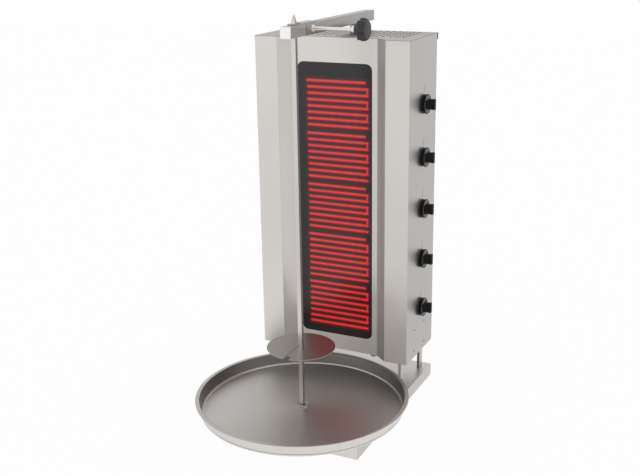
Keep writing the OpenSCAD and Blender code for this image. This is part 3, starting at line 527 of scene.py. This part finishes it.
def finish_piece(bm, name, node_names, body, materials, sharp=32):
    """Turn a bmesh into a piece that rides on a body and stands for its CAD nodes."""
    bmesh.ops.recalc_face_normals(bm, faces=bm.faces)
    for face in bm.faces:
        face.smooth = True
    for edge in bm.edges:
        edge.smooth = (len(edge.link_faces) == 2
                       and edge.calc_face_angle(0) < math.radians(sharp))
    mesh = bpy.data.meshes.new(name)
    bm.to_mesh(mesh)
    bm.free()
    for material in materials:
        mesh.materials.append(material)
    piece = bpy.data.objects.new(name, mesh)
    bpy.context.collection.objects.link(piece)
    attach(piece, body)
    if node_names:
        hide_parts(*node_names)
    return piece


def merged_copy(node):
    bm = bmesh.new()
    bm.from_mesh(nodes[node].data)
    bmesh.ops.remove_doubles(bm, verts=bm.verts, dist=merge_dist)
    bmesh.ops.dissolve_limit(bm, angle_limit=flat_angle, verts=bm.verts, edges=bm.edges)
    return bm


def bevel_edges(bm, edges, width, segments):
    bmesh.ops.bevel(bm, geom=edges, offset=width, offset_type="OFFSET", segments=segments,
                    profile=0.5, affect="EDGES", clamp_overlap=True, material=-1)


def softened(node, body, width, segments=2, shortest=0.02, second=(), sharp=20):
    """A copy of a node with its long sharp edges rounded. second pairs rules with materials."""
    bm = merged_copy(node)
    long_edges = [e for e in bm.edges if e.is_manifold and e.calc_length() > shortest
                  and e.calc_face_angle(0) > fold_angle]
    bevel_edges(bm, long_edges, width, segments)
    materials = [finish_of[node]]
    bm.normal_update()
    for number, (rule, material) in enumerate(second, 1):
        for face in bm.faces:
            if rule(face):
                face.material_index = number
        materials.append(material)
    return finish_piece(bm, node + "_dressed", [node], body, materials, sharp)


print("helpers ready")

# %% [markdown]
# ## The cabinet, the base and the arm
# The side sheets are one finish on the side and a paler one on the pillar faces: one steel as a
# painted shade copy and a painted lit copy. The front end of the arm's block is painted almost
# white, a painted highlight.
# The undersides of the arm, and the two ends that face each other across the gap between block
# and tube, look at shade, so they get a dark finish.


# %% Cabinet and base sheets
def faces_forward(face):
    """Within about 45 degrees of straight ahead."""
    return face.normal.y < -0.7


# Each last number is the width of the rounded edges, in metres
# Faces that look ahead get the painted lit copy, the others the darker painted shade copy
for node in ("side_panel_left", "side_panel_right"):
    softened(node, "stand", 0.0006, second=[(faces_forward, steel_lit_front)])
for node in ("wing_left", "wing_right"):
    softened(node, "stand", 0.0004)
softened("front_panel", "stand", 0.0004, shortest=0.001)
# The base's faces that look ahead get the painted lit copy
softened("base_tray", "stand", 0.0007, second=[(faces_forward, steel_base_lit_front)])
softened("back_panel", "stand", 0.0003)
softened("top_cover", "stand", 0.0004, shortest=0.1)
for node in ("posts_left", "posts_right"):
    softened(node, "stand", 0.0012)

# %% Arm, disc and knob bezels
tube_round, block_round = 0.0016, 0.0006
tube_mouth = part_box("arm_tube")[0].y
block_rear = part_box("arm_block")[1].y


def under_edge(face):
    return face.normal.z < -0.2


def at_tube_mouth(face):
    return face.calc_center_median().y < tube_mouth + tube_round


def at_block_rear(face):
    return face.calc_center_median().y > block_rear - block_round


softened("mast", "stand", 0.0015, segments=3)
# The tube's underside and its mouth get the painted shade
softened("arm_tube", "stand", tube_round, segments=3,
         second=[(under_edge, steel_painted_shade), (at_tube_mouth, steel_painted_shade)])
# The block's front face gets the painted highlight, its underside and rear end the painted shade
softened("arm_block", "arm_slide", block_round, shortest=0.001,
         second=[(under_edge, steel_painted_shade), (at_block_rear, steel_painted_shade),
                 (faces_forward, steel_end_painted_highlight)])
softened("arm_strap", "arm_slide", 0.0005, shortest=0.001)
softened("meat_disc", "disc", 0.0005, shortest=0.001)
softened("knob_bezels", "stand", 0.0006, shortest=0.0005, sharp=40)

# %% [markdown]
# ## The drip pan
# The pan is spun from one sheet, so it is made by spinning one closed section round the spit's
# axis. The section runs from the bead of the small collar over the floor, through the rounded
# corner, up the wall, over the flat flange and down the turned-in skirt. Floor, wall, corner,
# outside, flange and the rim's thin inner edge each mirror another part of the room, so each has a
# finish of its own: painted reflections, with a painted highlight as a bright ring on the corner,
# painted shade on the wall and the rim's inner edge, and painted light on the outside.


# %% Pan section
def arc(centre, radius, start, end, steps):
    """Points of an arc in the section plane, with angles in degrees from the outward direction."""
    for k in range(steps + 1):
        a = math.radians(start + (end - start) * k / steps)
        yield centre[0] + radius * math.cos(a), centre[1] + radius * math.sin(a)


pan_low, pan_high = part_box("drip_pan")
axis_y = (pan_low.y + pan_high.y) / 2
sheet = 0.0015
rim_r = (pan_high.x - pan_low.x) / 2
rim_z, under_z = pan_high.z, pan_low.z
floor_z = under_z + sheet
flange, draft, corner, edge = 0.013, 0.004, 0.007, 0.0012
collar_r, collar_top, bead, collar_foot = 0.0195, floor_z + 0.007, 0.0022, 0.002
wall_top = rim_r - flange
wall_low = wall_top - draft
corner_centre = (wall_low - corner, floor_z + corner)

section = [(collar_r - sheet, under_z)]
section += [(collar_r - sheet, collar_top - 2 * bead)]
section += arc((collar_r - bead, collar_top - bead), bead, 200, -20, 10)
section += [(collar_r, collar_top - 2 * bead)]
section += arc((collar_r + collar_foot, floor_z + collar_foot), collar_foot, 180, 270, 4)
section += arc(corner_centre, corner, -90, 0, 8)
section += arc((wall_top + edge, rim_z - edge), edge, 180, 90, 4)
section += arc((rim_r - edge, rim_z - edge), edge, 90, -20, 4)
# The skirt's cone ends on the wall's own corner, so both read as one smooth side
section += arc(corner_centre, corner + sheet, 8, -90, 9)
print("pan section:", len(section), "points, rim radius", round(rim_r, 4))


# %% Spin the pan
def spun(section, origin, axis, along, steps):
    """Spin a closed section once round an axis. along is the direction of the section's radius."""
    bm = bmesh.new()
    ring = [bm.verts.new(Vector(origin) + Vector(along) * r + Vector(axis) * h)
            for r, h in section]
    edges = [bm.edges.new((a, b)) for a, b in zip(ring, ring[1:] + ring[:1])]
    bmesh.ops.spin(bm, geom=ring + edges, cent=origin, axis=axis, angle=2 * math.pi,
                   steps=steps, use_merge=True)
    bmesh.ops.remove_doubles(bm, verts=bm.verts, dist=merge_dist)
    return bm


# Each finish of the pan is a painted reflection, lit or shaded as the part it stands for
pan_finishes = [steel_pan, steel_pan_wall_shade, steel_pan_corner_highlight, steel_pan_outside_lit,
                steel_pan_flange, steel_pan_edge_shade]
FLOOR, WALL, CORNER, OUTSIDE, FLANGE, EDGE = range(len(pan_finishes))


def pan_part(face):
    """Which finish a face of the pan gets, by its place and the way it looks."""
    spot = face.calc_center_median()
    r = math.hypot(spot.x, spot.y - axis_y)
    if r < wall_low - corner:
        return FLOOR
    if spot.z > rim_z - edge:
        return EDGE if r < wall_top + edge else FLANGE
    if face.normal.z < -0.05:
        return OUTSIDE
    return CORNER if spot.z < floor_z + corner * 0.8 else WALL


bm = spun(section, (0, axis_y, 0), (0, 0, 1), (1, 0, 0), 160)
bm.normal_update()
for face in bm.faces:
    face.material_index = pan_part(face)
pan = finish_piece(bm, "drip_pan_dressed", ["drip_pan"], "pan", pan_finishes, sharp=40)
print("pan faces:", len(pan.data.polygons))

# %% [markdown]
# ## The spit
# A square bar, ground to a slender point with curved sides. One square face is extruded upwards
# again and again, and each new section is scaled to the width that the curve asks for. The face
# that looks to the right mirrors a darker part of the room, so it has a finish of its own, a
# painted shade copy. Both finishes are also painted paler towards the spit's foot.

# %% Spit
spit_low, spit_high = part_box("spit")
bar = (spit_high.x - spit_low.x) / 2
arm_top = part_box("arm_block")[1].z
# Half width of the foot, then how far up the foot is straight and where its taper ends
tang, tang_end, taper_end = 0.0043, 0.0043, 0.0183
point_steps, point_curve, blunt_share, spit_round = 12, 1.8, 0.02, 0.0006

heights = [(spit_low.z, tang), (spit_low.z + tang_end, tang), (spit_low.z + taper_end, bar),
           (arm_top, bar)]
for k in range(1, point_steps + 1):
    left = 1 - k / point_steps
    width = bar * max(1 - (1 - left) ** point_curve, blunt_share)
    heights.append((arm_top + (spit_high.z - arm_top) * k / point_steps, width))
bm = bmesh.new()
bmesh.ops.create_grid(bm, x_segments=1, y_segments=1, size=1.0)
bmesh.ops.scale(bm, vec=(heights[0][1], heights[0][1], 1), verts=bm.verts)
bmesh.ops.translate(bm, vec=(0, axis_y, heights[0][0]), verts=bm.verts)
top = bm.faces[:]
for (z0, w0), (z1, w1) in zip(heights, heights[1:]):
    first = z0 == spit_low.z
    grown = bmesh.ops.extrude_face_region(bm, geom=top, use_keep_orig=first)["geom"]
    top = [g for g in grown if isinstance(g, bmesh.types.BMFace)]
    ring = [g for g in grown if isinstance(g, bmesh.types.BMVert)]
    bmesh.ops.translate(bm, vec=(0, 0, z1 - z0), verts=ring)
    bmesh.ops.scale(bm, vec=(w1 / w0, w1 / w0, 1), verts=ring,
                    space=Matrix.Translation((0, -axis_y, 0)))
upright = [e for e in bm.edges if abs((e.verts[0].co - e.verts[1].co).z) > 0.001]
bevel_edges(bm, upright, spit_round, 2)
bmesh.ops.remove_doubles(bm, verts=bm.verts, dist=merge_dist)
bm.normal_update()
# Faces that look to the right get the darker painted shade copy
for face in bm.faces:
    face.material_index = 1 if face.normal.x > 0.5 else 0
finish_piece(bm, "spit_dressed", ["spit"], "spit",
             [steel_spit, steel_spit_side], sharp=18)
print("spit from", round(spit_low.z, 4), "to", round(spit_high.z, 4))

# %% [markdown]
# ## The knobs
# Each control knob is a round skirt with a thin black rim and a grey inset face. Its grip is
# moulded in one with it: a wide root that flares in to an upright bar for the fingers, and that
# grows a little taller outwards. The skirt is spun. The grip's plan is drawn as one outline,
# extruded upwards and then tapered, and its edges are rounded.


# %% Grip of a control knob
def grip_on(axis, front, outer, root=0.022, waist=0.007, foot=0.001, flare=0.008,
            low_h=0.0141, high_h=0.016, rounding=0.0008, steps=8):
    """The grip as its own closed bmesh: plan outline in x and y, height in z."""
    depth = outer - axis.x - front
    side = [(root, -foot), (root, foot)]
    for k in range(1, steps + 1):
        a = math.radians(90 * k / steps)
        side.append((waist + (root - waist) * (1 - math.sin(a)),
                     foot + (flare - foot) * (1 - math.cos(a))))
    side += [(waist, depth)]
    plan = side + [(-y, x) for y, x in reversed(side)]
    grip = bmesh.new()
    low = [grip.verts.new(axis + Vector((front + x, y, -high_h))) for y, x in plan]
    face = grip.faces.new(low)
    grown = bmesh.ops.extrude_face_region(grip, geom=[face], use_keep_orig=True)["geom"]
    ends = [g for g in grown if isinstance(g, bmesh.types.BMVert)]
    bmesh.ops.translate(grip, vec=(0, 0, 2 * high_h), verts=ends)
    for vert in grip.verts:
        way = (vert.co.x - axis.x - front) / depth
        tall = low_h + (high_h - low_h) * way
        vert.co.z = axis.z + math.copysign(tall, vert.co.z - axis.z)
    bmesh.ops.recalc_face_normals(grip, faces=grip.faces)
    corners = [e for e in grip.edges
               if e.is_manifold and e.calc_face_angle(0) > math.radians(40)]
    bevel_edges(grip, corners, rounding, 2)
    return grip


# %% Control knobs
def control_knob(i):
    low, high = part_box(f"knob_{i}")
    axis = Vector((low.x, (low.y + high.y) / 2, (low.z + high.z) / 2))
    radius = (high.y - low.y) / 2
    bore_r, neck_r, neck_h, skirt_t = 0.0042, 0.022, 0.0049, 0.005
    rounding, rim, rim_slope, inset = 0.001, 0.0014, 0.0006, 0.0008
    front = neck_h + skirt_t
    profile = [(bore_r, 0), (neck_r, 0), (neck_r, neck_h)]
    profile += arc((radius - rounding, neck_h + rounding), rounding, -90, 0, 3)
    profile += arc((radius - rounding, front - rounding), rounding, 0, 90, 3)
    profile += [(radius - rim, front), (radius - rim - rim_slope, front - inset),
                (bore_r, front - inset)]
    bm = spun(profile, tuple(axis), (1, 0, 0), (0, 0, 1), 64)
    bmesh.ops.recalc_face_normals(bm, faces=bm.faces)
    for face in bm.faces:
        spot = face.calc_center_median()
        r = math.hypot(spot.y - axis.y, spot.z - axis.z)
        in_face = face.normal.x > 0.9 and r < radius - rim - rim_slope / 2
        face.material_index = 1 if in_face else 0
    grip = grip_on(axis, front, high.x)
    holder = bpy.data.meshes.new("grip")
    grip.to_mesh(holder)
    grip.free()
    bm.from_mesh(holder)
    bpy.data.meshes.remove(holder)
    finish_piece(bm, f"knob_{i}_dressed", [f"knob_{i}"], f"control_{i}",
                 [knob_black, knob_inset], sharp=40)
    return axis


knob_axes = [control_knob(i) for i in range(1, zones + 1)]
print("knobs at heights", [round(axis.z, 3) for axis in knob_axes])

# %% [markdown]
# The clamp screw's knob is a moulded star with seven round lobes. It is lofted: one lobed outline
# is drawn, and ring after ring is bridged along the axis. A round hub at the back covers the nut.
# Over the front the rings shrink and the lobes fade out, so the face ends as a plain round one.

# %% Star knob
star_low, star_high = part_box("star_knob")
screw_low, screw_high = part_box("clamp_screw")
star_axis = Vector((0, (screw_low.y + screw_high.y) / 2, (screw_low.z + screw_high.z) / 2))
lobes, mean_r, wave = 7, 0.02825, 0.00375
bore_r, bore_end, nut_r = 0.0041, 0.011, 0.0105
hub_r, hub_back, hub_round = 0.0145, -0.007, 0.001
rim_back, rim_round, rim_front = 0.006, 0.0014, 0.018
dome_start, dome_steps = 0.0205, 8
star_t = star_high.x - star_low.x
# Each ring: distance along the axis, mean radius and height of the lobes
rings = [(bore_end, bore_r, 0), (0, bore_r, 0), (0, nut_r, 0), (hub_back, nut_r, 0),
         (hub_back, hub_r - hub_round, 0), (hub_back + hub_round, hub_r, 0),
         (rim_back, hub_r, 0), (rim_back, 0.955 * mean_r, 0.955 * wave),
         (rim_back + rim_round, mean_r, wave), (rim_front, mean_r, wave)]
for k in range(dome_steps + 1):
    way = k / dome_steps
    rise = math.sin(way * math.pi / 2) ** 0.9
    slimming = 0.975 - 0.14 * way ** 1.5
    rings.append((dome_start + (star_t - dome_start) * rise, slimming * mean_r,
                  slimming * wave * 0.95 * (1 - way)))


def lobed_ring(bm, along, radius, wave, steps=168):
    """One closed outline across the star knob's axis, as a list of edges."""
    around = []
    for k in range(steps):
        a = 2 * math.pi * k / steps
        r = radius + wave * math.cos(lobes * (a + math.pi / 2))
        across = Vector((star_low.x + along, r * math.sin(a), -r * math.cos(a)))
        around.append(bm.verts.new(star_axis + across))
    return [bm.edges.new((one, after)) for one, after in zip(around, around[1:] + around[:1])]


bm = bmesh.new()
loft = [lobed_ring(bm, *ring) for ring in rings]
for behind, ahead in zip(loft, loft[1:]):
    bmesh.ops.bridge_loops(bm, edges=behind + ahead)
bmesh.ops.edgeloop_fill(bm, edges=loft[0])
bmesh.ops.edgeloop_fill(bm, edges=loft[-1])
finish_piece(bm, "star_knob_dressed", ["star_knob"], "clamp_screw",
             [star_black], sharp=50)
print("star knob rings:", len(rings))

# %% [markdown]
# Above each knob the side sheet carries one short curved mark, where the knob's pointer stands
# at rest. It is etched, so it is made as a sliver a tenth of a millimetre thick: one small face
# is spun round the arc's centre, from 72 degrees below the level to 72 degrees above it.

# %% Marks above the knobs
mark_r, mark_w, mark_t, mark_steps = 0.0105, 0.0015, 0.0001, 18
mark_back, mark_up = 0.0015, 0.045
half_sweep = math.radians(72)
side_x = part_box("side_panel_right")[1].x

bm = bmesh.new()
for axis in knob_axes:
    centre = Vector((side_x, axis.y + mark_back + mark_r, axis.z + mark_up))
    start = centre + Vector((0, -mark_r * math.cos(half_sweep), -mark_r * math.sin(half_sweep)))
    out = (start - centre).normalized()
    ring = [bm.verts.new(start + Vector((x, 0, 0)) + out * r)
            for x, r in ((0, 0), (mark_t, 0), (mark_t, mark_w), (0, mark_w))]
    bmesh.ops.spin(bm, geom=[bm.faces.new(ring)], cent=centre, axis=(1, 0, 0),
                   angle=-2 * half_sweep, steps=mark_steps)
finish_piece(bm, "side_marks", [], "stand", [scale_mark])
print("marks above the knobs:", len(knob_axes))
